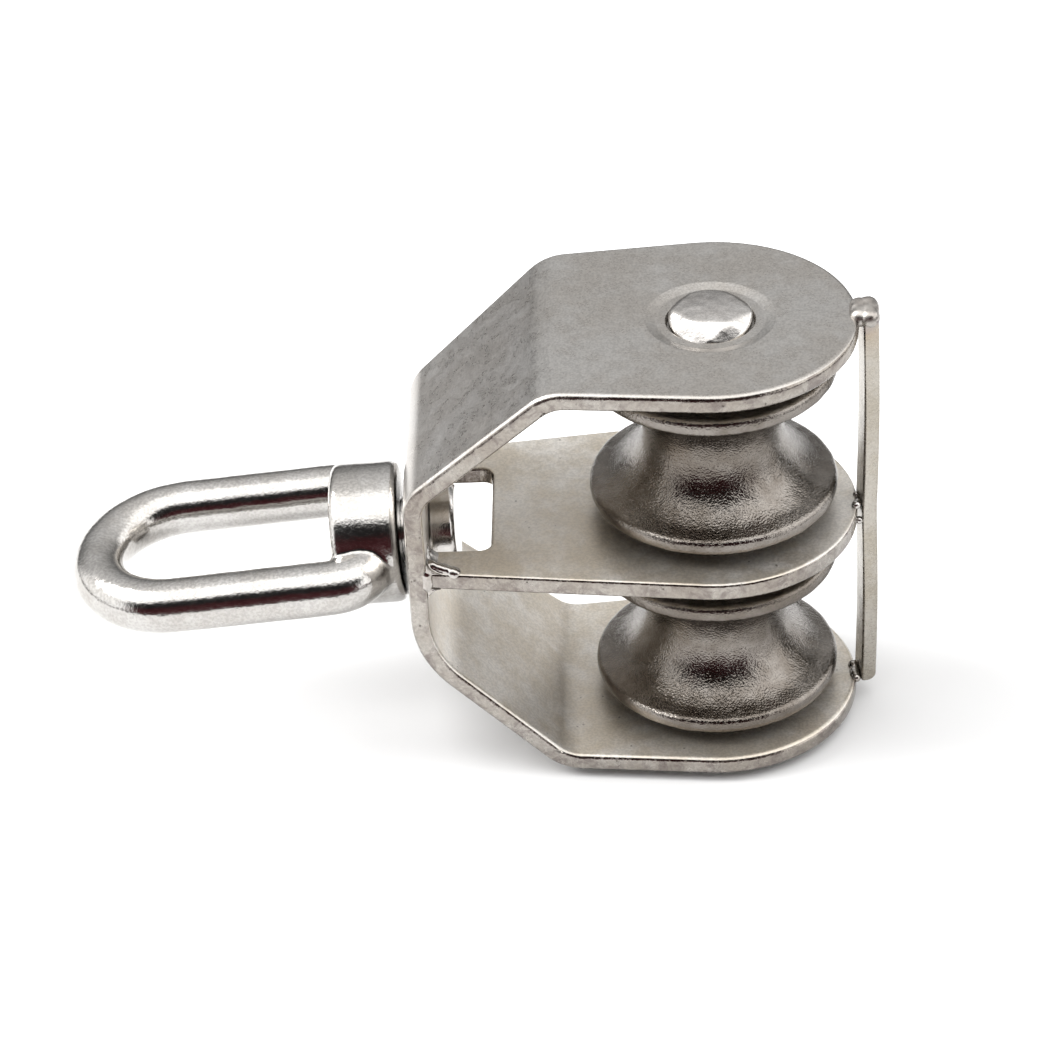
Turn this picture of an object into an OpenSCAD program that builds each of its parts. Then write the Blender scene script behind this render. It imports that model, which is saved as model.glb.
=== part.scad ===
// Double sheave swivel block: two rope sheaves one above the other on a riveted axle, in a frame
// bent from flat strip, hung from a swivel eye.
// Millimetres. The axle lies along Z, and the origin is on its axis in the middle of the centre
// plate. The swivel axis runs along X, a little below that middle. The eye is towards -X and the
// tie bar towards +X. The block lies on its lower cheek.

/* [Sheaves] */
// Diameter over the flanges of a sheave
sheave_d = 32; // [28:0.5:33]
// Width over the flanges of a sheave
sheave_w = 20.4; // [18:0.1:21]
// Diameter at the bottom of the rope groove
groove_d = 18.2; // [16:0.1:22]
// Thickness of a flange at its rim
flange_rim = 2; // [1.2:0.1:2.6]
// Length of a sheave through its hub
hub_len = 22.3; // [21.5:0.1:22.6]
// Diameter of the hub's end faces
hub_d = 15; // [13:0.5:17]
// Height of the upper sheave's middle above the centre plate's middle
upper_sheave_z = 13.9; // [13.6:0.05:14.2]
// Depth of the lower sheave's middle below the centre plate's middle
lower_sheave_z = 14.7; // [14.2:0.05:14.75]

/* [Axle and bearings] */
// Diameter of the axle's shank
axle_d = 8; // [6:0.5:9]
// Diameter of the axle's two riveted heads
axle_head_d = 10.6; // [10:0.1:11]
// How far a riveted head stands out of its cheek
axle_head_proud = 1.2; // [0.8:0.1:1.5]
// Outer diameter of a bush
bush_d = 11; // [10.5:0.1:12]
// Outer diameter of a thrust washer
washer_d = 15; // [13:0.5:18]
// Thickness of a thrust washer
washer_t = 1; // [0.5:0.1:1]
// Radial clearance of every turning fit
running_gap = 0.05; // [0.02:0.01:0.1]

/* [Frame] */
// Thickness of the strip that the frame is made of
strip_t = 2.5; // [2.2:0.1:2.6]
// Height over the two cheeks
frame_h = 59; // [58.6:0.1:60]
// Radius of the plates' round tips
tip_r = 18.6; // [17.5:0.1:20]
// Distance from the axle to the outside of the head
head_x = 39.5; // [38:0.1:42]
// Distance from the axle to the bend where a cheek becomes a slope
cheek_bend_x = 21; // [20:0.1:23]
// Height over the head between its bends
head_h = 25; // [22:0.5:28]
// Width of the strip across the head
head_w = 28.2; // [26:0.1:30]
// Outer radius of the bends beside the cheeks
cheek_bend_r = 7; // [5:0.5:9]
// Outer radius of the upper bend of the head
upper_head_bend_r = 6; // [4:0.5:9]
// Outer radius of the lower bend of the head
lower_head_bend_r = 14; // [6:0.5:15]
// Angle by which a plate's sides close in behind its tip
taper = 5.7; // [4:0.1:7]

/* [Centre plate] */
// Distance from the axle to the closed end of the slot that clears the swivel pin
slot_x = 28.9; // [27:0.1:31]
// Width of that slot
slot_w = 18.2; // [15:0.1:20]
// Radius of the slot's corners
slot_corner_r = 1.5; // [1:0.1:3]

/* [Tie bar] */
// Width of the tie bar
bar_w = 4.5; // [3.5:0.1:6]
// Thickness of the tie bar
bar_t = 2; // [1.5:0.1:2.5]
// Height of the tie bar's lower end above the block's underside
bar_low = 2; // [1.5:0.1:2.4]
// Angle by which the bar is turned about its length
bar_turn = 8; // [0:1:12]

/* [Swivel eye] */
// Diameter of the eye's round bar
eye_bar_d = 7.1; // [6:0.1:8]
// Width of the eye between the middles of its legs
eye_pitch = 22; // [20:0.1:24]
// Distance from the middle of the head plate to the middle of the eye's bow
eye_reach = 42.9; // [38:0.1:46]
// Depth of the swivel axis below the centre plate's middle
eye_depth = 1.7; // [0:0.1:2]
// Diameter of the eye's boss
boss_d = 18.7; // [17:0.1:20]
// Length of the eye's boss
boss_len = 8.9; // [7.5:0.1:9.5]
// Radius of the boss's rims
boss_rim_r = 1.2; // [0.5:0.1:1.5]
// Centre line radius of the curl that joins a leg to the boss
curl_r = 5; // [4:0.1:6]
// Diameter of the swivel pin's shank
pin_d = 8; // [6:0.5:8]
// Diameter of the swivel pin's head
pin_head_d = 11.6; // [9.6:0.1:12]
// Length of the swivel pin's head
pin_head_len = 3.1; // [2:0.1:3.5]
// Outer diameter of the washer between the boss and the head
swivel_washer_d = 17.6; // [16:0.1:19]
// Thickness of that washer
swivel_washer_t = 0.5; // [0.3:0.05:0.6]
// Angle at which the eye hangs down, resting its boss on that washer
eye_droop = 3; // [2:0.5:6]
// Angle at which the legs and the bow lean down from the boss's own axis
bow_lean = 2.5; // [0:0.5:4]

/* [Hidden] */
$fn = 96;

// amounts by which cutters run past what they cut
past = 1;
// steps in a bend or a rounded corner
bend_steps = 12;

// frame
cheek_top = frame_h / 2;
cheek_in = cheek_top - strip_t;
head_in = head_x - strip_t;
head_z = head_h / 2;
slope_angle = atan2(cheek_top - head_z, head_x - cheek_bend_x);
cheek_bend_w = (tip_r - cheek_bend_x * sin(taper)) / cos(taper);
// the recess round an axle head: a shallow cone and a deeper seat
seat_gap = 0.3;
seat_depth = 1.3;
dish_r = 8.3;
dish_floor_r = 6.9;
dish_depth = 0.35;

// axle
axle_r = axle_d / 2;
head_r = axle_head_d / 2;
head_side_h = 0.3;
dome_h = axle_head_proud - head_side_h;
dome_r = (head_r * head_r + dome_h * dome_h) / (2 * dome_h);
seat_z = cheek_top - seat_depth;

// sheave groove: the circle that runs from the groove's bottom to the inner edges of the rims
sheave_r = sheave_d / 2;
rim_z = sheave_w / 2 - flange_rim;
groove_rise = sheave_r - groove_d / 2;
groove_r = (groove_rise * groove_rise + rim_z * rim_z) / (2 * groove_rise);
rim_chamfer = 0.5;
washer_gap = 0.1;

// tie bar
bar_clear = 0.05;
bar_x = (tip_r + bar_clear + bar_t / 2) / cos(bar_turn);
bar_bottom = bar_low - cheek_top;
bar_end_r = 1.2;
// distance from the axle to the bar's inner face, square to it
bar_face = bar_x * cos(bar_turn) - bar_t / 2;

// swivel, in the pin's own frame: +X points into the block and the pivot is the middle of the head
pivot_x = head_x - strip_t / 2;
stop_gap = 0.12;
boss_r = boss_d / 2;
// where the boss's face lies, so that its rounded rim just clears the washer when it droops
washer_face = strip_t / 2 + swivel_washer_t;
boss_rim_drop = (boss_r - boss_rim_r) * sin(eye_droop) + boss_rim_r * (1 - cos(eye_droop));
boss_face = (washer_face + stop_gap + boss_rim_drop) / cos(eye_droop);
boss_back = boss_face + boss_len;
pin_r = pin_d / 2;
pin_head_r = pin_head_d / 2;
pin_head_face = (strip_t / 2 + stop_gap + pin_head_r * sin(eye_droop)) / cos(eye_droop);
pin_hole_r = pin_r / cos(eye_droop) + washer_face * tan(eye_droop) + stop_gap;
pin_flare_r = 5.2;
pin_flare_len = 1.2;
pin_head_edge = 0.5;
eye_bar_r = eye_bar_d / 2;
bow_r = eye_pitch / 2;
bow_x = eye_reach - bow_r;
curl_end = 3;
curl_x = curl_end + eye_bar_r + curl_r;

// weld beads
web_weld = 1.2;
web_weld_end_gap = 0.3;
cap_weld_h = 1.3;
cap_weld_r = 2.7;
corner_weld_r = 1.3;

steel = "silver";
cast = "gray";
bronze = "darkgoldenrod";
weld_colour = "lightgray";

function ray(a) = [cos(a), sin(a)];

// Points of an arc about c from angle a0 to a1
function arc(c, r, a0, a1) =
    [for (i = [0 : bend_steps]) c + r * ray(a0 + (a1 - a0) * i / bend_steps)];

// A left-hand bend of a strip that runs along angle a_in, then a_out: corner is where its outer
// faces would meet, r the outer radius there, and inset the depth of the wanted face
function bend(corner, a_in, a_out, r, inset) =
    arc(corner - r * tan((a_out - a_in) / 2) * ray(a_in) + r * ray(a_in + 90),
        r - inset, a_in - 90, a_out - 90);

// One face of the strap, seen from the side, from the upper tip to the lower one
function strap_face(inset) = concat(
    [[tip_r + past, cheek_top - inset]],
    bend([-cheek_bend_x, cheek_top], 180, 180 + slope_angle, cheek_bend_r, inset),
    bend([-head_x, head_z], 180 + slope_angle, 270, upper_head_bend_r, inset),
    bend([-head_x, -head_z], 270, 360 - slope_angle, lower_head_bend_r, inset),
    bend([-cheek_bend_x, -cheek_top], 360 - slope_angle, 360, cheek_bend_r, inset),
    [[tip_r + past, inset - cheek_top]]);

function reversed(list) = [for (i = [len(list) - 1 : -1 : 0]) list[i]];

// A plate's outline in plan: a round tip, then sides that close in to half widths at given x
module plate_outline(side) {
    tangent = [-tip_r * sin(taper), tip_r * cos(taper)];
    circle(r = tip_r);
    polygon(concat([tangent], side, [for (p = reversed(side)) [p[0], -p[1]]],
                   [[tangent[0], -tangent[1]]]));
}

module axle_seat() {
    translate([0, 0, -past]) cylinder(r = axle_r + running_gap, h = cheek_top + 2 * past);
    translate([0, 0, seat_z]) cylinder(r = head_r + seat_gap, h = seat_depth + past);
    translate([0, 0, cheek_top - dish_depth])
        cylinder(r1 = dish_floor_r, r2 = dish_r, h = dish_depth);
    translate([0, 0, cheek_top]) cylinder(r = dish_r, h = past);
}

module strap() {
    half_head = head_w / 2;
    color(steel) difference() {
        intersection() {
            rotate([90, 0, 0])
                linear_extrude(2 * tip_r + 2 * past, center = true)
                    polygon(concat(strap_face(0), reversed(strap_face(strip_t))));
            translate([0, 0, -cheek_top - past])
                linear_extrude(frame_h + 2 * past)
                    plate_outline([[-cheek_bend_x, cheek_bend_w], [-head_x - past, half_head]]);
        }
        axle_seat();
        mirror([0, 0, 1]) axle_seat();
        translate([-head_x - past, 0, -eye_depth]) rotate([0, 90, 0])
            cylinder(r = pin_hole_r, h = strip_t + 2 * past);
    }
}

module centre_plate() {
    end_w = (tip_r - head_in * sin(taper)) / cos(taper);
    half_slot = slot_w / 2;
    corner_x = -slot_x - slot_corner_r;
    corner_y = half_slot - slot_corner_r;
    color(steel) difference() {
        translate([0, 0, -strip_t / 2]) linear_extrude(strip_t)
            plate_outline([[-head_in, min(end_w, head_w / 2)]]);
        translate([0, 0, -strip_t]) linear_extrude(2 * strip_t)
            polygon(concat([[-head_in - past, half_slot], [-head_in - past, -half_slot]],
                           arc([corner_x, -corner_y], slot_corner_r, -90, 0),
                           arc([corner_x, corner_y], slot_corner_r, 0, 90)));
        translate([0, 0, -strip_t]) cylinder(r = axle_r + running_gap, h = 2 * strip_t);
    }
}

// The bar's side, seen along Y: square at the top, its outer corner rounded at the bottom
module tie_bar() {
    color(steel) translate([bar_x, 0, 0]) rotate([0, 0, bar_turn]) rotate([90, 0, 0])
        linear_extrude(bar_w, center = true)
            polygon(concat([[bar_t / 2, cheek_top], [-bar_t / 2, cheek_top],
                            [-bar_t / 2, bar_bottom]],
                           arc([bar_t / 2 - bar_end_r, bar_bottom + bar_end_r],
                               bar_end_r, -90, 0)));
}

module axle_head() {
    intersection() {
        translate([0, 0, seat_z]) cylinder(r = head_r, h = seat_depth + 2 * axle_head_proud);
        translate([0, 0, cheek_top + axle_head_proud - dome_r]) sphere(r = dome_r);
    }
}

module axle() {
    color(steel) {
        translate([0, 0, -seat_z - washer_gap])
            cylinder(r = axle_r, h = 2 * seat_z + 2 * washer_gap);
        axle_head();
        mirror([0, 0, 1]) axle_head();
    }
}

module sheave() {
    half_w = sheave_w / 2;
    half_hub = hub_len / 2;
    hub_r = hub_d / 2;
    inner = sheave_r - rim_chamfer;
    rotate_extrude() difference() {
        polygon([[bush_d / 2, -half_hub], [hub_r, -half_hub], [hub_r + rim_chamfer, -half_w],
                 [inner, -half_w], [sheave_r, rim_chamfer - half_w],
                 [sheave_r, half_w - rim_chamfer], [inner, half_w],
                 [hub_r + rim_chamfer, half_w], [hub_r, half_hub], [bush_d / 2, half_hub]]);
        translate([groove_d / 2 + groove_r, 0]) circle(r = groove_r);
    }
}

module bush() {
    rotate_extrude() translate([axle_r + running_gap, -hub_len / 2])
        square([bush_d / 2 - axle_r - running_gap, hub_len]);
}

module upper_sheave() {
    color(cast) translate([0, 0, upper_sheave_z]) sheave();
}

module lower_sheave() {
    color(cast) translate([0, 0, -lower_sheave_z]) sheave();
}

module upper_bush() {
    color(bronze) translate([0, 0, upper_sheave_z]) bush();
}

module lower_bush() {
    color(bronze) translate([0, 0, -lower_sheave_z]) bush();
}

// A thrust washer whose lower face is at height z
module washer(z) {
    color(steel) translate([0, 0, z]) rotate_extrude()
        translate([axle_r + washer_gap, 0])
            square([washer_d / 2 - axle_r - washer_gap, washer_t]);
}

module upper_outer_washer() { washer(cheek_in - washer_t); }

module upper_inner_washer() { washer(strip_t / 2); }

module lower_inner_washer() { washer(-strip_t / 2 - washer_t); }

module lower_outer_washer() { washer(-cheek_in); }

// Places what is drawn in the pin's own frame: at the head's middle, hanging down to its stop
module on_swivel() {
    translate([-pivot_x, 0, -eye_depth]) rotate([0, -eye_droop, 0]) children();
}

// The flat washer that lies against the outside of the head
module swivel_washer() {
    color(steel) translate([-head_x, 0, -eye_depth]) rotate([0, -90, 0]) rotate_extrude()
        translate([pin_hole_r, 0]) square([swivel_washer_d / 2 - pin_hole_r, swivel_washer_t]);
}

// The pin's outline from its head, inside the block, to its end spread in the boss's countersink
module swivel_pin() {
    tip = running_gap - boss_back;
    head_end = pin_head_face + pin_head_len;
    color(steel) on_swivel() rotate([0, 90, 0]) rotate_extrude()
        polygon([[0, tip], [pin_flare_r, tip], [pin_r, tip + pin_flare_len],
                 [pin_r, pin_head_face], [pin_head_r, pin_head_face],
                 [pin_head_r, head_end - pin_head_edge], [pin_head_r - pin_head_edge, head_end],
                 [0, head_end]]);
}

// The hole through the boss, with the countersink that the pin's end is spread in
module boss_bore() {
    bore_r = pin_r + running_gap;
    flare_r = pin_flare_r + 2 * running_gap;
    translate([-boss_face, 0, 0]) rotate([0, 90, 0])
        translate([0, 0, -boss_len - past]) cylinder(r = bore_r, h = boss_len + 2 * past);
    translate([-boss_back, 0, 0]) rotate([0, 90, 0])
        cylinder(r1 = flare_r, r2 = bore_r, h = flare_r - bore_r);
    translate([-boss_back - past, 0, 0]) rotate([0, 90, 0]) cylinder(r = flare_r, h = past);
}

// One leg of the eye, on the +Y side, with the curl that turns it into the boss
module eye_leg() {
    translate([-bow_x, bow_r, 0]) rotate([0, 90, 0]) cylinder(r = eye_bar_r, h = bow_x - curl_x);
    translate([-curl_x, bow_r - curl_r, 0])
        rotate_extrude(angle = 90) translate([curl_r, 0]) circle(r = eye_bar_r);
}

// Both legs and the bow between them
module eye_bow() {
    eye_leg();
    mirror([0, 1, 0]) eye_leg();
    translate([-bow_x, 0, 0]) rotate([0, 0, 90])
        rotate_extrude(angle = 180) translate([bow_r, 0]) circle(r = eye_bar_r);
}

module swivel_eye() {
    rim = boss_rim_r;
    color(cast) on_swivel() difference() {
        union() {
            translate([-boss_back, 0, 0]) rotate([0, 90, 0]) rotate_extrude()
                polygon(concat([[0, 0]], arc([boss_r - rim, rim], rim, -90, 0),
                               arc([boss_r - rim, boss_len - rim], rim, 0, 90),
                               [[0, boss_len]]));
            rotate([0, -bow_lean, 0]) eye_bow();
        }
        boss_bore();
    }
}

// The two fillets that join one web of the centre plate to the head, from y0 to y1
module web_welds(y0, y1) {
    half_t = strip_t / 2;
    color(weld_colour) for (side = [0, 1])
        mirror([0, 0, side]) translate([0, y1, 0]) rotate([90, 0, 0]) linear_extrude(y1 - y0)
            polygon([[-head_in, half_t], [web_weld - head_in, half_t],
                     [-head_in, half_t + web_weld]]);
}

module plate_weld_near() {
    web_welds(-head_w / 2 + web_weld_end_gap, -slot_w / 2 - web_weld_end_gap);
}

module plate_weld_far() {
    web_welds(slot_w / 2 + web_weld_end_gap, head_w / 2 - web_weld_end_gap);
}

// The cap of weld over the tie bar's upper end and the upper cheek's tip
module bar_weld_top() {
    r = (cap_weld_r * cap_weld_r + cap_weld_h * cap_weld_h) / (2 * cap_weld_h);
    color(weld_colour) intersection() {
        translate([bar_x - bar_t / 2, 0, cheek_top + cap_weld_h - r]) sphere(r = r);
        translate([0, -tip_r, cheek_top]) cube([2 * tip_r, 2 * tip_r, 2 * cap_weld_h]);
    }
}

// A bead in the corner between the bar's inner face and a plate's face at height z, above the
// plate if up is 1 and below it if up is -1
module corner_bead(z, up) {
    color(weld_colour) rotate([0, 0, bar_turn]) intersection() {
        translate([tip_r - corner_weld_r / 2, -bar_x * sin(bar_turn), z])
            sphere(r = corner_weld_r);
        translate([0, -tip_r, z - (up > 0 ? 0 : tip_r)]) cube([bar_face, 2 * tip_r, tip_r]);
    }
}

module bar_weld_middle() {
    corner_bead(strip_t / 2, 1);
    corner_bead(-strip_t / 2, -1);
}

module bar_weld_bottom() { corner_bead(-cheek_in, 1); }

strap();
centre_plate();
tie_bar();
axle();
upper_sheave();
lower_sheave();
upper_bush();
lower_bush();
upper_outer_washer();
upper_inner_washer();
lower_inner_washer();
lower_outer_washer();
swivel_washer();
swivel_pin();
swivel_eye();
plate_weld_near();
plate_weld_far();
bar_weld_top();
bar_weld_middle();
bar_weld_bottom();
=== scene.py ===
import math

import bmesh
import bpy
from mathutils import Matrix, Vector, noise


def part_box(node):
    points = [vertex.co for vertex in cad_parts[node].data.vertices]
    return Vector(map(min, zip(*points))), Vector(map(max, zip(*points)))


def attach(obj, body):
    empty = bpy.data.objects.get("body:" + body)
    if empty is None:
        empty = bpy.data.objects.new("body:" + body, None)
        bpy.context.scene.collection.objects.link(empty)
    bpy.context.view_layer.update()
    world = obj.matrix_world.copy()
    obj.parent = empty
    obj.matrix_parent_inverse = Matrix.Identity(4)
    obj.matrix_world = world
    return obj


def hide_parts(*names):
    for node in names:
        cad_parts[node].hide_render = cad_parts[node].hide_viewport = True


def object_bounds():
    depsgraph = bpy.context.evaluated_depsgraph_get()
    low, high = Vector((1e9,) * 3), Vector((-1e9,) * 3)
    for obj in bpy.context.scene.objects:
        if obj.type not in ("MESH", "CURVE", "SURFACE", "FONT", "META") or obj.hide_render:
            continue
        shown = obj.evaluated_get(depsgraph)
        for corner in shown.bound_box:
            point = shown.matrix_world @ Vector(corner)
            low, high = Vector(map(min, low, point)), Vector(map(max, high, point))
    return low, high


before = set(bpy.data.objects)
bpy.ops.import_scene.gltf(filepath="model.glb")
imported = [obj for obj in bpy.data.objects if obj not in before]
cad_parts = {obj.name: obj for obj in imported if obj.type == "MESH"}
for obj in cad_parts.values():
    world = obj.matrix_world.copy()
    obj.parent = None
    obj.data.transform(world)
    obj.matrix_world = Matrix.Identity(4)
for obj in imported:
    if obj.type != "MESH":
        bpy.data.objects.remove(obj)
cad_low, cad_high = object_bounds()

MM = 0.001
noise.seed_set(1)               # noise_vector would start from the clock without it

# ---- how far edges are rounded -------------------------------------------------------------
STRAP_EDGE = 0.75 * MM          # the strap's cut edges
PLATE_EDGE = 0.5 * MM           # the centre plate's cut edges
BAR_EDGE = 0.4 * MM             # the tie bar
SMALL_EDGE = 0.15 * MM          # washers, bushes and the swivel pin
HOLE_SHARE = 0.3                # share of a plate's rounding at the edge of a hole
RECESS_SHARE = 0.15             # the same at the shallow recess round an axle head
SHARP_TURN = 30                 # degrees over which an edge is a sharp one
RECESS_TURN = 8                 # degrees over which an edge can be that of a recess

# ---- places on the plates that the frame does not give -------------------------------------
HOLE_REACH = 9.0 * MM           # sharp edges nearer than this to an axis belong to its hole
BORE_REACH = 6.0 * MM           # faces nearer than this to the axle line its hole
SWIVEL_SIDE = -30.0 * MM        # the swivel's hole lies at a smaller X than this
TIP_SIDE = -15.0 * MM           # the round tips of the cheeks lie at a greater X than this
STRAP_MIDDLE = -10.0 * MM       # X of a point between the cheeks, which the inside looks at
KINK = 21.0 * MM                # distance from the axle, in X, to the end of the tapered sides
KINK_CROWD = (0.02 * MM, 0.25 * MM)     # facet edges this far from a kink crowd it
ACROSS = 20.0 * MM              # an edge that spans more than this in Y runs across the strap

# ---- the tie bar, the axle and the sheaves -------------------------------------------------
BAR_STEPS = 28                  # lengths that the bar is cut into, so that it can bend
BAR_BOW = 0.22 * MM             # how far it bends
BAR_SETBACK = 0.3               # share of that bow by which the whole bar is set back
AXLE_RADIUS = 4.0 * MM
AXLE_SEAT = 28.2 * MM           # height at which an axle head starts
AXLE_SIDES = 144
HEAD_RINGS = 26                 # from the middle of an axle head to its edge
HEAD_CROWN = 0.45 * MM          # rise of the head's middle over its edge
SHOULDER_DROP = 0.35 * MM       # extra fall at the edge of the head
SHOULDER_SHARE = 0.2            # outer share of the rings in which that fall lies
SHEAVE_WIDTH = 20.4 * MM
SHEAVE_RIM = 2.1 * MM
GROOVE_RADIUS = 9.1 * MM        # at the bottom of the rope groove
HUB_RADIUS = 7.5 * MM
HUB_SLOPE = 0.5 * MM            # how much wider the hub is where it meets the sheave's side
RIM_ROUNDING = 1.0 * MM
SHEAVE_SIDES = 256

# Facets that hammering left on the axle heads: direction in degrees, start as a share of the
# head's radius, and slope
UPPER_FACETS = ((-96, 0.5, 0.6), (-50, 0.66, 0.7), (-140, 0.6, 0.6), (35, 0.8, 0.4),
                (150, 0.8, 0.4))
LOWER_FACETS = ((75, 0.5, 0.4), (-20, 0.7, 0.5), (190, 0.72, 0.4))

# Order of the materials on a plate
OUTSIDE, CUT_EDGE, INSIDE = 0, 1, 2


# ---- meshes --------------------------------------------------------------------------------
def new_piece(name, bm, node, body, material, others=()):
    """Makes a shown piece from a bmesh. It stands for a CAD node and rides on its body.
    others are the materials of faces whose material index is 1 or more."""
    for face in bm.faces:
        face.smooth = True
    mesh = bpy.data.meshes.new(name)
    bm.to_mesh(mesh)
    bm.free()
    # The CAD mesh can bring normals of its own, which no longer fit the changed faces.
    if "custom_normal" in mesh.attributes:
        mesh.attributes.remove(mesh.attributes["custom_normal"])
    mesh.materials.append(material)
    for other in others:
        mesh.materials.append(other)
    piece = bpy.data.objects.new(name, mesh)
    bpy.context.scene.collection.objects.link(piece)
    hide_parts(node)
    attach(piece, body)
    return piece


def cad_mesh(node):
    """A node's shape with its flat faces made whole."""
    bm = bmesh.new()
    bm.from_mesh(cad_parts[node].data)
    bmesh.ops.remove_doubles(bm, verts=bm.verts, dist=1e-6)
    bmesh.ops.dissolve_limit(bm, angle_limit=math.radians(0.5), verts=bm.verts,
                             edges=bm.edges)
    return bm


def round_edges(piece, width, steps=3, weighted=False, clamped=True):
    """Rounds a piece's sharp edges and keeps its flat faces flat. weighted rounds by the
    edges' own weights. clamped keeps the rounding within the shortest edge it meets."""
    bevel = piece.modifiers.new("rounding", "BEVEL")
    bevel.width = width
    bevel.segments = steps
    bevel.limit_method = "WEIGHT" if weighted else "ANGLE"
    bevel.angle_limit = math.radians(SHARP_TURN)
    bevel.use_clamp_overlap = clamped
    normals = piece.modifiers.new("normals", "WEIGHTED_NORMAL")
    normals.weight = 80
    return piece


def freeze(piece):
    """Makes a piece's modifiers part of its mesh."""
    graph = bpy.context.evaluated_depsgraph_get()
    mesh = bpy.data.meshes.new_from_object(piece.evaluated_get(graph))
    piece.modifiers.clear()
    piece.data = mesh


def remesh(piece, voxel, smoothing):
    """Turns a piece into one even, closed skin and softens its corners."""
    cells = piece.modifiers.new("skin", "REMESH")
    cells.mode = "VOXEL"
    cells.voxel_size = voxel
    cells.use_smooth_shade = True
    soft = piece.modifiers.new("soft", "SMOOTH")
    soft.factor = 0.5
    soft.iterations = smoothing
    freeze(piece)


def roughen(piece, height, size, seed=0.0):
    """Moves a piece's points along their normals by smooth noise, height up or down."""
    offset = Vector((seed, 2 * seed, -seed))
    normals = [v.normal.copy() for v in piece.data.vertices]
    for v, normal in zip(piece.data.vertices, normals):
        v.co += normal * (height * noise.noise(v.co / size + offset))
    piece.data.update()


def arc(centre, radius, start, end, steps):
    """Points of an arc in a plane, from angle start to end in degrees."""
    angles = [math.radians(start + (end - start) * i / steps) for i in range(steps + 1)]
    return [(centre[0] + radius * math.cos(a), centre[1] + radius * math.sin(a))
            for a in angles]


def rounded(outline, radius, steps=5):
    """A closed outline with each corner replaced by a curve of about that radius."""
    least_turn = math.radians(12)
    longest_cut = 0.48          # as a share of either side of the corner
    result = []
    count = len(outline)
    for i, corner in enumerate(outline):
        here = Vector(corner)
        before, after = Vector(outline[i - 1]), Vector(outline[(i + 1) % count])
        back, ahead = before - here, after - here
        turn = math.pi - back.angle(ahead)
        if turn < least_turn:
            result.append(here)
            continue
        cut = min(radius * math.tan(turn / 2), longest_cut * back.length,
                  longest_cut * ahead.length)
        start, end = here + back.normalized() * cut, here + ahead.normalized() * cut
        for k in range(steps + 1):
            t = k / steps
            result.append(start * (1 - t) ** 2 + here * 2 * t * (1 - t) + end * t * t)
    return result


def add_ring(bm, sides, radius, height_at):
    """A ring of points about Z. height_at gives a point's height from its x and y."""
    ring = []
    for i in range(sides):
        a = 2 * math.pi * i / sides
        x, y = radius * math.cos(a), radius * math.sin(a)
        ring.append(bm.verts.new((x, y, height_at(x, y))))
    return ring


def join_rings(bm, first, second):
    """A closed band of faces between two rings with as many points."""
    count = len(first)
    for i in range(count):
        j = (i + 1) % count
        bm.faces.new((first[i], first[j], second[j], second[i]))


def lathe(outline, sides):
    """A solid turned about Z from a closed outline of (radius, height) points."""
    bm = bmesh.new()
    rings = [add_ring(bm, sides, radius, lambda x, y: height) for radius, height in outline]
    for k, ring in enumerate(rings):
        join_rings(bm, ring, rings[k - 1])
    bmesh.ops.recalc_face_normals(bm, faces=bm.faces)
    return bm


# ---- shader nodes --------------------------------------------------------------------------
class Nodes:
    """Adds and links shader nodes in one tree."""

    def __init__(self, tree):
        self.tree = tree
        tree.nodes.clear()

    def add(self, kind, settings=None, **inputs):
        node = self.tree.nodes.new("ShaderNode" + kind)
        for key, value in (settings or {}).items():
            setattr(node, key, value)
        for key, value in inputs.items():
            self.put(node.inputs[key.replace("_", " ")], value)
        return node

    def put(self, socket, value):
        if isinstance(value, bpy.types.NodeSocket):
            self.tree.links.new(value, socket)
        else:
            socket.default_value = value

    def math(self, operation, a, b=0.0):
        node = self.add("Math", {"operation": operation})
        self.put(node.inputs[0], a)
        self.put(node.inputs[1], b)
        return node.outputs[0]

    def weighted_sum(self, a, share_a, b, share_b):
        return self.math("ADD", self.math("MULTIPLY", a, share_a),
                         self.math("MULTIPLY", b, share_b))

    def noise(self, vector, scale, detail=2.0, rough=0.5, distortion=0.0):
        node = self.add("TexNoise", Vector=vector, Scale=scale, Detail=detail,
                        Roughness=rough, Distortion=distortion)
        return node.outputs["Fac"]

    def remap(self, value, low, high, out_low=0.0, out_high=1.0):
        """Eases from out_low to out_high while value goes from low to high."""
        node = self.add("MapRange", {"interpolation_type": "SMOOTHSTEP"}, Value=value)
        for i, limit in enumerate((low, high, out_low, out_high)):
            node.inputs[i + 1].default_value = limit
        return node.outputs["Result"]

    def mix(self, factor, a, b):
        """A colour between a and b. Inputs 6 and 7 are the node's colour inputs."""
        node = self.add("Mix", {"data_type": "RGBA"})
        self.put(node.inputs["Factor"], factor)
        self.put(node.inputs[6], a)
        self.put(node.inputs[7], b)
        return node.outputs[2]

    def shaded(self, colour, factor):
        node = self.add("VectorMath", {"operation": "SCALE"})
        self.put(node.inputs[0], colour)
        self.put(node.inputs["Scale"], factor)
        return node.outputs[0]

    def scaled(self, vector, factors):
        node = self.add("Mapping", Vector=vector)
        node.inputs["Scale"].default_value = factors
        return node.outputs["Vector"]

    def bump(self, height, distance, normal=None):
        node = self.add("Bump", Height=height, Strength=1.0, Distance=distance)
        if normal is not None:
            self.put(node.inputs["Normal"], normal)
        return node.outputs["Normal"]


def rgb(red, green, blue):
    return (red, green, blue, 1.0)


def grey(value):
    return rgb(value, value, value)


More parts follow.
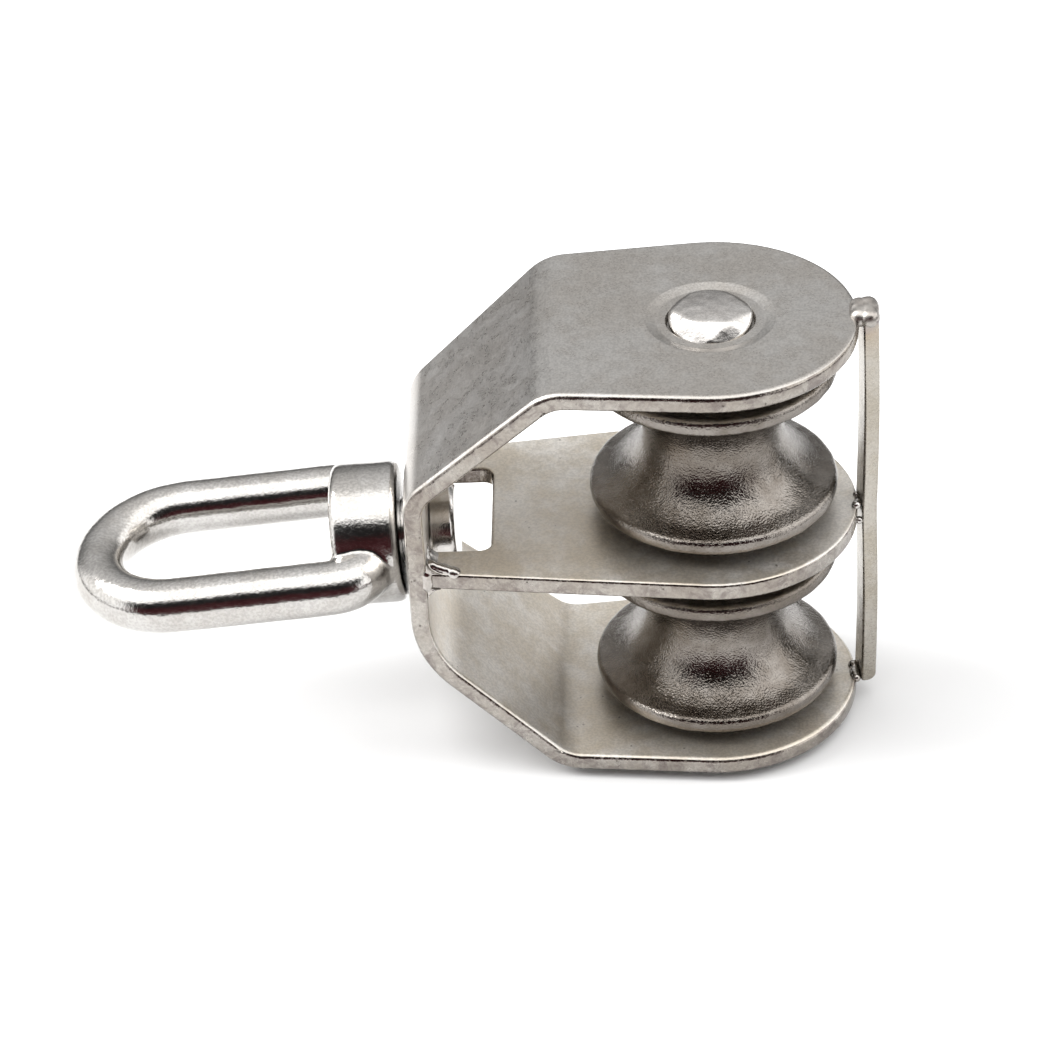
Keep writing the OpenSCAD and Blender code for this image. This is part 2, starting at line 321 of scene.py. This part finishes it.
# ---- materials -----------------------------------------------------------------------------
def metal(name, colour, stain, roughness, grain, grain_depth, waviness=0.0, scratches=0.0,
          pits=0.0, pit_level=0.6, tint=None, blotches=0.0, detail=3.0, bare=1.0):
    """A bare metal finish, clouded from its colour to its stain.

    roughness is its lowest and highest value. grain is the size of its texture in millimetres,
    and a lower detail leaves out the finest of it. grain_depth, waviness, scratches and pits
    are depths in millimetres, and a higher pit_level leaves fewer pits. tint recolours it by
    place, blotches darkens it in patches, and bare below 1 gives it a dull film."""
    material = bpy.data.materials.new(name)
    material.use_nodes = True
    n = Nodes(material.node_tree)
    place = n.add("TexCoord").outputs["Object"]
    mm = n.scaled(place, (1 / MM, 1 / MM, 1 / MM))
    patchy = n.noise(mm, scale=0.42, detail=4.0, rough=0.62, distortion=0.3)
    fine = n.noise(mm, scale=1 / grain, detail=detail, rough=0.6)
    base = clouded(n, mm, colour, stain, patchy)
    base = n.shaded(base, n.remap(fine, 0.35, 0.65, 0.88, 1.06))
    if blotches:
        base = blotched(n, mm, base, blotches)
    if tint is not None:
        base = tint(n, mm, base)
    rough = n.remap(n.weighted_sum(patchy, 0.5, fine, 0.5), 0.35, 0.65, *roughness)
    normal = n.bump(fine, grain_depth * MM)
    if waviness:
        normal = n.bump(n.noise(mm, scale=0.55, detail=1.0), waviness * MM, normal)
    if scratches:
        normal = n.bump(scratch_lines(n, mm), -scratches * MM, normal)
    if pits:
        hole = pit_mask(n, mm, patchy, pit_level)
        normal = n.bump(hole, -pits * MM, normal)
        base = n.mix(n.math("MULTIPLY", hole, 0.55), base, rgb(0.09, 0.075, 0.06))
    shader = n.add("BsdfPrincipled", Base_Color=base, Metallic=bare, Roughness=rough,
                   Normal=normal)
    out = n.add("OutputMaterial")
    n.put(out.inputs["Surface"], shader.outputs["BSDF"])
    return material


def clouded(n, mm, colour, stain, patchy):
    """The metal's colour, with soft clouds of its stain."""
    broad = n.noise(mm, scale=0.09, detail=3.0, rough=0.55)
    cloud = n.remap(n.weighted_sum(broad, 0.6, patchy, 0.4), 0.38, 0.64)
    return n.mix(cloud, rgb(*stain), rgb(*colour))


def blotched(n, mm, base, amount):
    """A colour with dark patches, amount strong."""
    spots = n.noise(mm, scale=0.33, detail=4.0, rough=0.7, distortion=1.2)
    dark = n.math("MULTIPLY", n.remap(spots, 0.42, 0.68), amount)
    return n.mix(dark, base, rgb(0.1, 0.075, 0.075))


def scratch_lines(n, mm):
    """1 on thin scratches that run mostly along X, and 0 between them."""
    along = n.scaled(mm, (0.12, 2.6, 1.4))
    lines = n.noise(along, scale=1.1, detail=5.0, rough=0.7, distortion=1.4)
    return n.remap(lines, 0.66, 0.72)


def pit_mask(n, mm, patchy, level):
    """1 in small round pits, which lie only where patchy is over the level."""
    cells = n.add("TexVoronoi", Vector=mm, Scale=0.85)
    hole = n.remap(cells.outputs["Distance"], 0.10, 0.17, 1.0, 0.0)
    chosen = n.remap(patchy, level, level + 0.03)
    return n.math("MULTIPLY", hole, chosen)


def heat_tint(n, mm, base):
    """Straw and blue oxide colours beside the weld over the tie bar's top."""
    height = n.add("SeparateXYZ", Vector=mm).outputs["Z"]
    near_top = n.remap(height, 23.5, 29.5)
    wander = n.noise(mm, scale=0.5)
    straw = n.mix(n.math("MULTIPLY", near_top, wander), base, rgb(0.33, 0.235, 0.15))
    uneven = n.math("ADD", height, n.math("MULTIPLY", wander, 3.0))
    blue = n.remap(uneven, 28.9, 30.6, 0.0, 0.4)
    return n.mix(blue, straw, rgb(0.2, 0.22, 0.3))


MATERIALS = {
    "strip": metal("strip_steel", (0.475, 0.46, 0.44), (0.43, 0.405, 0.375), (0.27, 0.36),
                   grain=0.28, grain_depth=0.012, waviness=0.006, detail=1.5),
    # inside: the strip's steel with its colour painted lighter, and a lower bare that adds a
    # diffuse share of that colour, as painted light on the faces in shade between the cheeks
    # and under the sheaves
    "inside": metal("strip_steel_inside_painted_light", (0.71, 0.68, 0.635), (0.57, 0.515, 0.435),
                    (0.36, 0.46), grain=0.35, grain_depth=0.01, waviness=0.008, pits=0.02,
                    pit_level=0.57, detail=1.5, bare=0.78),
    # edge: the cut edges' own rougher, pitted and blotched finish, with a colour painted
    # darker than the strip's as painted shade, standing in for a dimmer reflection of the
    # floor
    "edge": metal("strip_cut_edge_painted_shade", (0.39, 0.367, 0.336), (0.29, 0.262, 0.23), (0.15, 0.3),
                  grain=0.4, grain_depth=0.045, waviness=0.14, pits=0.05, pit_level=0.56,
                  blotches=0.55),
    "bar": metal("bar_steel", (0.43, 0.405, 0.365), (0.35, 0.32, 0.27), (0.22, 0.34),
                 grain=0.3, grain_depth=0.008, waviness=0.015, scratches=0.004, pits=0.012,
                 pit_level=0.62, tint=heat_tint),
    "rivet": metal("rivet_steel", (0.6, 0.58, 0.56), (0.52, 0.495, 0.47), (0.16, 0.25),
                   grain=0.35, grain_depth=0.02, waviness=0.03, scratches=0.003),
    "sheave": metal("cast_sheave", (0.24, 0.22, 0.2), (0.145, 0.126, 0.108), (0.11, 0.18),
                    grain=0.26, grain_depth=0.085, waviness=0.02, detail=1.5),
    "eye": metal("cast_eye", (0.5, 0.487, 0.47), (0.43, 0.412, 0.388), (0.12, 0.18),
                 grain=0.4, grain_depth=0.024, waviness=0.025, detail=1.5),
    "bronze": metal("bush_bronze", (0.62, 0.42, 0.2), (0.5, 0.33, 0.16), (0.25, 0.35),
                    grain=0.3, grain_depth=0.004),
    "washer": metal("washer_steel", (0.4, 0.38, 0.36), (0.3, 0.28, 0.26), (0.24, 0.34),
                    grain=0.25, grain_depth=0.004),
    "weld": metal("weld_metal", (0.5, 0.48, 0.46), (0.36, 0.33, 0.3), (0.13, 0.24),
                  grain=0.5, grain_depth=0.02, waviness=0.03, detail=1.5),
    "cap": metal("weld_cap", (0.42, 0.4, 0.375), (0.33, 0.3, 0.275), (0.28, 0.38),
                 grain=0.4, grain_depth=0.012, waviness=0.02),
}


# ---- the frame's plates --------------------------------------------------------------------
def strap_face_kind(normal, centre):
    """Which material a face of the strap has."""
    on_side = abs(normal.y) > 0.35
    on_tip = centre.x > TIP_SIDE and abs(normal.z) < 0.3
    in_bore = centre.xy.length < BORE_REACH
    if (on_side or on_tip) and not in_bore:
        return CUT_EDGE
    outwards = Vector((centre.x - STRAP_MIDDLE, 0, centre.z))
    return OUTSIDE if normal.dot(outwards) > 0 else INSIDE


def plate_face_kind(normal, centre):
    """The same for the centre plate, which has the inside's finish, with its colour painted
    lighter as painted light, on both faces.
    """
    return CUT_EDGE if abs(normal.z) < 0.5 else INSIDE


def clear_kinks(bm):
    """Drops the facet edges that crowd the strap's kinks, where its tapered sides end."""
    nearest, farthest = KINK_CROWD
    crowding = []
    for edge in bm.edges:
        ends = [v.co for v in edge.verts]
        across = abs(ends[0].y - ends[1].y) > ACROSS
        if across and nearest < abs(abs(ends[0].x) - KINK) < farthest:
            crowding.append(edge)
    bmesh.ops.dissolve_edges(bm, edges=crowding, use_verts=True)


def weigh_edges(bm):
    """Says how much each edge of a plate is rounded, as a share of the full width."""
    share = bm.edges.layers.float.new("bevel_weight_edge")
    for edge in bm.edges:
        if len(edge.link_faces) != 2:
            continue
        turn = math.degrees(edge.calc_face_angle(0.0))
        middle = (edge.verts[0].co + edge.verts[1].co) / 2
        level = all(abs(face.normal.z) > 0.9 for face in edge.link_faces)
        if turn > SHARP_TURN:
            at_axle = middle.xy.length < HOLE_REACH
            at_swivel = middle.yz.length < HOLE_REACH and middle.x < SWIVEL_SIDE
            edge[share] = HOLE_SHARE if at_axle or at_swivel else 1.0
        elif turn > RECESS_TURN and level:
            edge[share] = RECESS_SHARE


def make_plates():
    for node, kind, width in (("strap", strap_face_kind, STRAP_EDGE),
                              ("centre_plate", plate_face_kind, PLATE_EDGE)):
        bm = cad_mesh(node)
        clear_kinks(bm)
        for face in bm.faces:
            face.material_index = kind(face.normal, face.calc_center_median())
        weigh_edges(bm)
        # The inside faces get a colour painted lighter as painted light, and the cut edges one
        # painted darker as painted shade.
        piece = new_piece("plate_" + node, bm, node, "frame",
                          MATERIALS["strip"], [MATERIALS["edge"], MATERIALS["inside"]])
        round_edges(piece, width, steps=4, weighted=True, clamped=node != "strap")


# ---- the tie bar ---------------------------------------------------------------------------
def make_tie_bar():
    """The bar bends a little away from the block on each side of the centre plate's weld."""
    low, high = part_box("tie_bar")
    bm = cad_mesh("tie_bar")
    for i in range(1, BAR_STEPS):
        height = low.z + (high.z - low.z) * i / BAR_STEPS
        bmesh.ops.bisect_plane(bm, geom=bm.verts[:] + bm.edges[:] + bm.faces[:],
                               plane_co=(0, 0, height), plane_no=(0, 0, 1))
    for v in bm.verts:
        v.co.x += (BAR_BOW * math.sin(abs(v.co.z) / high.z * math.pi)
                   - BAR_BOW * BAR_SETBACK)
        v.co.y += 0.12 * MM * noise.noise(v.co / (6 * MM))
    piece = new_piece("bar", bm, "tie_bar", "frame", MATERIALS["bar"])
    round_edges(piece, BAR_EDGE)


# ---- the axle ------------------------------------------------------------------------------
def head_drop(x, y, radius, facets):
    """How far below its highest point an axle head's hammered surface lies at x, y."""
    drop = HEAD_CROWN * (math.hypot(x, y) / radius) ** 2
    for angle, start, slope in facets:
        a = math.radians(angle)
        beyond = x * math.cos(a) + y * math.sin(a) - start * radius
        if beyond > 0:
            drop += slope * beyond * beyond / (beyond + 0.25 * MM)
    layer = facets[-1][0] * MM          # makes the noise of the two heads differ
    return drop + 0.05 * MM * noise.noise(Vector((x, y, layer)) / (1.4 * MM))


def add_head(bm, top, head_radius, facets, sign):
    """The rings of an axle head from its middle out. sign is -1 for the lower head."""
    rings = []
    for k in range(1, HEAD_RINGS + 1):
        share = k / HEAD_RINGS
        radius = head_radius * math.sin(share * math.pi / 2)
        shoulder = (SHOULDER_DROP * max(0.0, share - (1 - SHOULDER_SHARE))
                    / SHOULDER_SHARE)
        rings.append(add_ring(bm, AXLE_SIDES, radius,
                              lambda x, y: sign * (top - shoulder - head_drop(
                                  x, y, head_radius, facets))))
    return rings


def make_axle():
    low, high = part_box("axle")
    bm = bmesh.new()
    upper = add_head(bm, high.z, high.x, UPPER_FACETS, 1)
    shank = [add_ring(bm, AXLE_SIDES, radius, lambda x, y: height)
             for radius, height in ((high.x, AXLE_SEAT), (AXLE_RADIUS, AXLE_SEAT),
                                    (AXLE_RADIUS, -AXLE_SEAT), (high.x, -AXLE_SEAT))]
    lower = add_head(bm, -low.z, high.x, LOWER_FACETS, -1)
    rings = upper + shank + lower[::-1]
    for before, after in zip(rings, rings[1:]):
        join_rings(bm, before, after)
    for end, z in ((rings[0], high.z), (rings[-1], low.z)):
        middle = bm.verts.new((0, 0, z))
        for i in range(AXLE_SIDES):
            bm.faces.new((middle, end[i], end[(i + 1) % AXLE_SIDES]))
    bmesh.ops.recalc_face_normals(bm, faces=bm.faces)
    new_piece("axle_rivet", bm, "axle", "frame", MATERIALS["rivet"])


# ---- the sheaves ---------------------------------------------------------------------------
def sheave_outline(outer, bore, half_hub):
    """(radius, height) points round a sheave's section, starting inside at the bottom."""
    half = SHEAVE_WIDTH / 2
    shoulder = half - SHEAVE_RIM
    rise = outer - GROOVE_RADIUS
    radius = (rise * rise + shoulder * shoulder) / (2 * rise)
    reach = math.degrees(math.asin(shoulder / radius))
    groove = arc((GROOVE_RADIUS + radius, 0.0), radius, 180 + reach, 180 - reach, 48)
    # Points near the rim would leave no room for its rounding.
    middle = [p for p in groove if outer - p[0] > 1.5 * RIM_ROUNDING]
    groove = [groove[0]] + middle + [groove[-1]]
    lower = [(bore, -half_hub), (HUB_RADIUS, -half_hub), (HUB_RADIUS + HUB_SLOPE, -half),
             (outer, -half)]
    upper = [(r, -z) for r, z in reversed(lower)]
    return rounded(lower + groove + upper, RIM_ROUNDING)


def make_sheaves():
    for side in ("upper", "lower"):
        node = side + "_sheave"
        low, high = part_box(node)
        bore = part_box(side + "_bush")[1].x
        outline = sheave_outline(high.x, bore, (high.z - low.z) / 2)
        bm = lathe(outline, SHEAVE_SIDES)
        bmesh.ops.translate(bm, verts=bm.verts, vec=(0, 0, (low.z + high.z) / 2))
        piece = new_piece("cast_" + node, bm, node, side + "_wheel",
                          MATERIALS["sheave"])
        roughen(piece, height=0.05 * MM, size=1.6 * MM, seed=high.z)


# ---- the swivel ----------------------------------------------------------------------------
def make_eye():
    """The eye is a casting, so its edges are softened and its skin is uneven."""
    bm = cad_mesh("swivel_eye")
    piece = new_piece("cast_swivel_eye", bm, "swivel_eye", "eye",
                      MATERIALS["eye"])
    remesh(piece, voxel=0.3 * MM, smoothing=7)
    roughen(piece, height=0.03 * MM, size=3.0 * MM)


def make_small_parts():
    """Bushes, washers and the swivel pin, with their edges eased."""
    parts = [("swivel_pin", "pin", "rivet_steel", "rivet"),
             ("upper_bush", "upper_wheel", "bush_bronze", "bronze"),
             ("lower_bush", "lower_wheel", "bush_bronze", "bronze")]
    for place in ("upper_outer", "upper_inner", "lower_inner", "lower_outer", "swivel"):
        parts.append((place + "_washer", "frame", "washer_steel", "washer"))
    for node, body, slot, material in parts:
        piece = new_piece("part_" + node, cad_mesh(node), node, body,
                          MATERIALS[material])
        round_edges(piece, SMALL_EDGE)


# ---- weld beads, with their sizes and places in millimetres --------------------------------
def add_fillet(bm, corner, up, start, end, leg):
    """A hollow fillet in the corner of a web and the head, along Y from start to end."""
    x, z = corner
    section = [(0.0, 0.0)] + arc((leg, leg), leg, 270, 180, 8)
    steps = 14
    rings = []
    for i in range(steps + 1):
        y = start + (end - start) * i / steps
        swell = 1 + 0.12 * noise.noise(Vector((x, y * 1.3, z)))
        rings.append([bm.verts.new(Vector((x + a * swell, y, z + up * b * swell)) * MM)
                      for a, b in section])
    for before, after in zip(rings, rings[1:]):
        join_rings(bm, before, after)
    bm.faces.new(rings[0])
    bm.faces.new(rings[-1][::-1])


def make_bead(name, node, lumps, fillets=(), material="weld"):
    """A weld: hollow fillets and overlapping lumps, each (x, y, z, radius), in one skin."""
    bm = bmesh.new()
    for fillet in fillets:
        add_fillet(bm, *fillet)
    for x, y, z, radius in lumps:
        made = bmesh.ops.create_icosphere(bm, subdivisions=3, radius=radius * MM)
        bmesh.ops.translate(bm, verts=made["verts"], vec=Vector((x, y, z)) * MM)
    bmesh.ops.recalc_face_normals(bm, faces=bm.faces)
    piece = new_piece(name, bm, node, "frame", MATERIALS[material])
    remesh(piece, voxel=0.11 * MM, smoothing=6)
    roughen(piece, height=0.05 * MM, size=0.9 * MM, seed=lumps[0][2])


def lumps_along(start, end, radius, count, seed, wander=0.0, uneven=0.0):
    """Lumps of a bead laid from start to end. wander is how far they stray from the line,
    and uneven how much their sizes vary."""
    a, b = Vector(start), Vector(end)
    result = []
    for i in range(count):
        t = i / (count - 1)
        p = a.lerp(b, t)
        shift = noise.noise_vector(Vector((seed, 3.7 * i, 0.3))) * wander
        size = radius * (1 + uneven * noise.noise(Vector((seed + 9.1, 2.3 * i, 1.7))))
        result.append((*(p + shift), size))
    return result


def make_plate_welds():
    """Fillets over and under each web, with a bright bead along the web's outer corner."""
    half_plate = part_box("centre_plate")[1].z / MM
    sunk = 0.05                 # how far a fillet reaches into the metal that it joins
    leg = 2.0
    for node, sign in (("plate_weld_near", -1), ("plate_weld_far", 1)):
        low, high = (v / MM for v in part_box(node))
        inner, outer = sorted((low.y, high.y), key=abs)
        head = low.x
        side = outer + 0.6 * sign
        fillets = [((head - sunk, up * (half_plate - sunk)), up, inner, side, leg)
                   for up in (1, -1)]
        bead = lumps_along((head + 0.6, outer - 0.9 * sign, 1.7),
                           (head + 3.7, outer + 0.05 * sign, 0.95),
                           radius=0.72, count=18, seed=4.0, wander=0.1, uneven=0.25)
        patch = lumps_along((head, outer, -0.9), (head, outer, 0.9),
                            radius=0.82, count=9, seed=3.0, wander=0.02, uneven=0.25)
        make_bead("bead_" + node, node, bead + patch, fillets)


def make_bar_cap():
    """A smooth cap over the tie bar's top, joined to the strap's upper tip."""
    low, high = (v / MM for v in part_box("tie_bar"))
    across = (low.x + high.x) / 2
    cap = lumps_along((across, low.y + 1.3, high.z - 0.35),
                      (across, high.y - 1.2, high.z - 0.1), radius=1.4, count=12, seed=5.0)
    joint = lumps_along((low.x + 0.1, low.y + 1.5, high.z - 0.3),
                        (low.x + 0.1, high.y - 1.2, high.z - 0.1), radius=1.25, count=12,
                        seed=6.0)
    make_bead("bead_bar_top", "bar_weld_top", cap + joint, material="cap")


def middle_of(node):
    low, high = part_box(node)
    return (low + high) / 2 / MM


def make_bar_beads():
    """Spots of weld over and under the centre plate's tip, and a bead at the lower tip."""
    tip = middle_of("bar_weld_middle")
    spots = [(tip.x + 0.35, tip.y - 2.0, 1.45, 0.62),
             (tip.x + 0.6, tip.y - 1.2, 1.2, 0.6),
             (tip.x + 0.75, tip.y - 1.7, -1.2, 0.55),
             (tip.x + 0.5, tip.y + 0.6, 1.2, 0.5)]
    make_bead("bead_bar_middle", "bar_weld_middle", spots)
    foot = middle_of("bar_weld_bottom")
    height = -27.0
    make_bead("bead_bar_bottom", "bar_weld_bottom",
              lumps_along((foot.x + 0.5, foot.y - 1.8, height),
                          (foot.x + 0.4, foot.y + 0.9, height),
                          radius=0.7, count=5, seed=7.0, wander=0.1, uneven=0.25))


# ---- floor, light and camera ---------------------------------------------------------------
def make_floor():
    """A round sheet of white paper under the block."""
    bm = bmesh.new()
    bmesh.ops.create_circle(bm, cap_ends=True, segments=128, radius=0.42)
    mesh = bpy.data.meshes.new("floor")
    bm.to_mesh(mesh)
    bm.free()
    floor = bpy.data.objects.new("floor", mesh)
    floor.location.z = cad_low.z
    bpy.context.scene.collection.objects.link(floor)
    paper = bpy.data.materials.new("paper")
    paper.use_nodes = True
    n = Nodes(paper.node_tree)
    shader = n.add("BsdfPrincipled", Base_Color=grey(0.75), Roughness=0.9)
    n.put(n.add("OutputMaterial").inputs["Surface"], shader.outputs["BSDF"])
    mesh.materials.append(paper)


# The tent's light by direction, from level at the front (0) over the top (0.5) to level at the
# back (1): a dark red opening, black cloth, a bright panel overhead and a grey back wall
TENT = ((0.0, rgb(0.2, 0.12, 0.12)), (0.04, rgb(0.10, 0.03, 0.035)),
        (0.13, rgb(0.07, 0.02, 0.022)), (0.17, grey(0.02)), (0.27, grey(0.03)),
        (0.33, grey(2.6)), (0.54, grey(2.6)), (0.60, grey(1.4)), (0.77, grey(0.92)),
        (0.97, grey(0.22)))
RIGHT_WALL = grey(2.3)
LEFT_WALL = grey(1.9)
GROUND = grey(0.15)
BACKDROP = grey(1.0)            # what the camera sees where there is no object


def make_world():
    """A light tent round the block, in front of a plain white backdrop."""
    world = bpy.data.worlds.new("tent")
    bpy.context.scene.world = world
    world.use_nodes = True
    n = Nodes(world.node_tree)
    direction = n.add("SeparateXYZ", Vector=n.add("TexCoord").outputs["Generated"])
    x, y, z = (direction.outputs[k] for k in "XYZ")
    round_front = n.math("ARCTAN2", z, n.math("MULTIPLY", y, -1.0))
    ramp = n.add("ValToRGB", Fac=n.math("DIVIDE", round_front, math.pi))
    elements = ramp.color_ramp.elements
    while len(elements) < len(TENT):
        elements.new(0.5)
    for element, (position, colour) in zip(elements, TENT):
        element.position = position
        element.color = colour
    on_right = n.math("MULTIPLY", n.remap(x, 0.62, 0.82), n.remap(z, 0.0, 0.15))
    lit = n.mix(on_right, ramp.outputs["Color"], RIGHT_WALL)
    lit = n.mix(n.remap(x, -0.7, -0.92), lit, LEFT_WALL)
    lit = n.mix(n.remap(z, 0.0, -0.02), lit, GROUND)
    seen = n.add("LightPath").outputs["Is Camera Ray"]
    shown = n.mix(seen, lit, BACKDROP)
    background = n.add("Background", Color=shown, Strength=1.0)
    out = n.add("OutputWorld")
    n.put(out.inputs["Surface"], background.outputs["Background"])


def make_light(name, direction, distance, size, energy):
    """A round lamp that faces the origin and is not seen itself."""
    light = bpy.data.lights.new(name, "AREA")
    light.shape = "DISK"
    light.size = size
    light.energy = energy
    lamp = bpy.data.objects.new(name, light)
    lamp.location = Vector(direction).normalized() * distance
    lamp.rotation_mode = "QUATERNION"
    lamp.rotation_quaternion = (-lamp.location).to_track_quat("-Z", "Y")
    lamp.visible_camera = False
    bpy.context.scene.collection.objects.link(lamp)


def make_camera():
    """A long lens in front of the block, looking down on it by about 35 degrees."""
    yaw, pitch, roll = (math.radians(a) for a in (-2.36, 35.42, -3.22))
    distance = 486 * MM
    aim = Vector((-24.73, 0.66, -2.14)) * MM
    forward = Vector((math.sin(yaw) * math.cos(pitch), math.cos(yaw) * math.cos(pitch),
                      -math.sin(pitch)))
    right = forward.cross(Vector((0, 0, 1))).normalized()
    up = right.cross(forward)
    tilted_right = right * math.cos(roll) + up * math.sin(roll)
    tilted_up = up * math.cos(roll) - right * math.sin(roll)
    data = bpy.data.cameras.new("camera")
    data.sensor_width = 36.0
    data.lens = 127.4
    data.clip_start = 0.01
    data.clip_end = 20.0
    camera = bpy.data.objects.new("camera", data)
    axes = Matrix((tilted_right, tilted_up, -forward)).transposed()
    camera.matrix_world = Matrix.Translation(aim - forward * distance) @ axes.to_4x4()
    bpy.context.scene.collection.objects.link(camera)
    bpy.context.scene.camera = camera


make_plates()
make_tie_bar()
make_axle()
make_sheaves()
make_eye()
make_small_parts()
make_plate_welds()
make_bar_cap()
make_bar_beads()
make_floor()
make_world()
make_light("overhead", direction=(-0.85, 0.1, 0.8), distance=0.9, size=0.5, energy=9.0)
make_camera()
bpy.context.scene.view_settings.view_transform = "Standard"
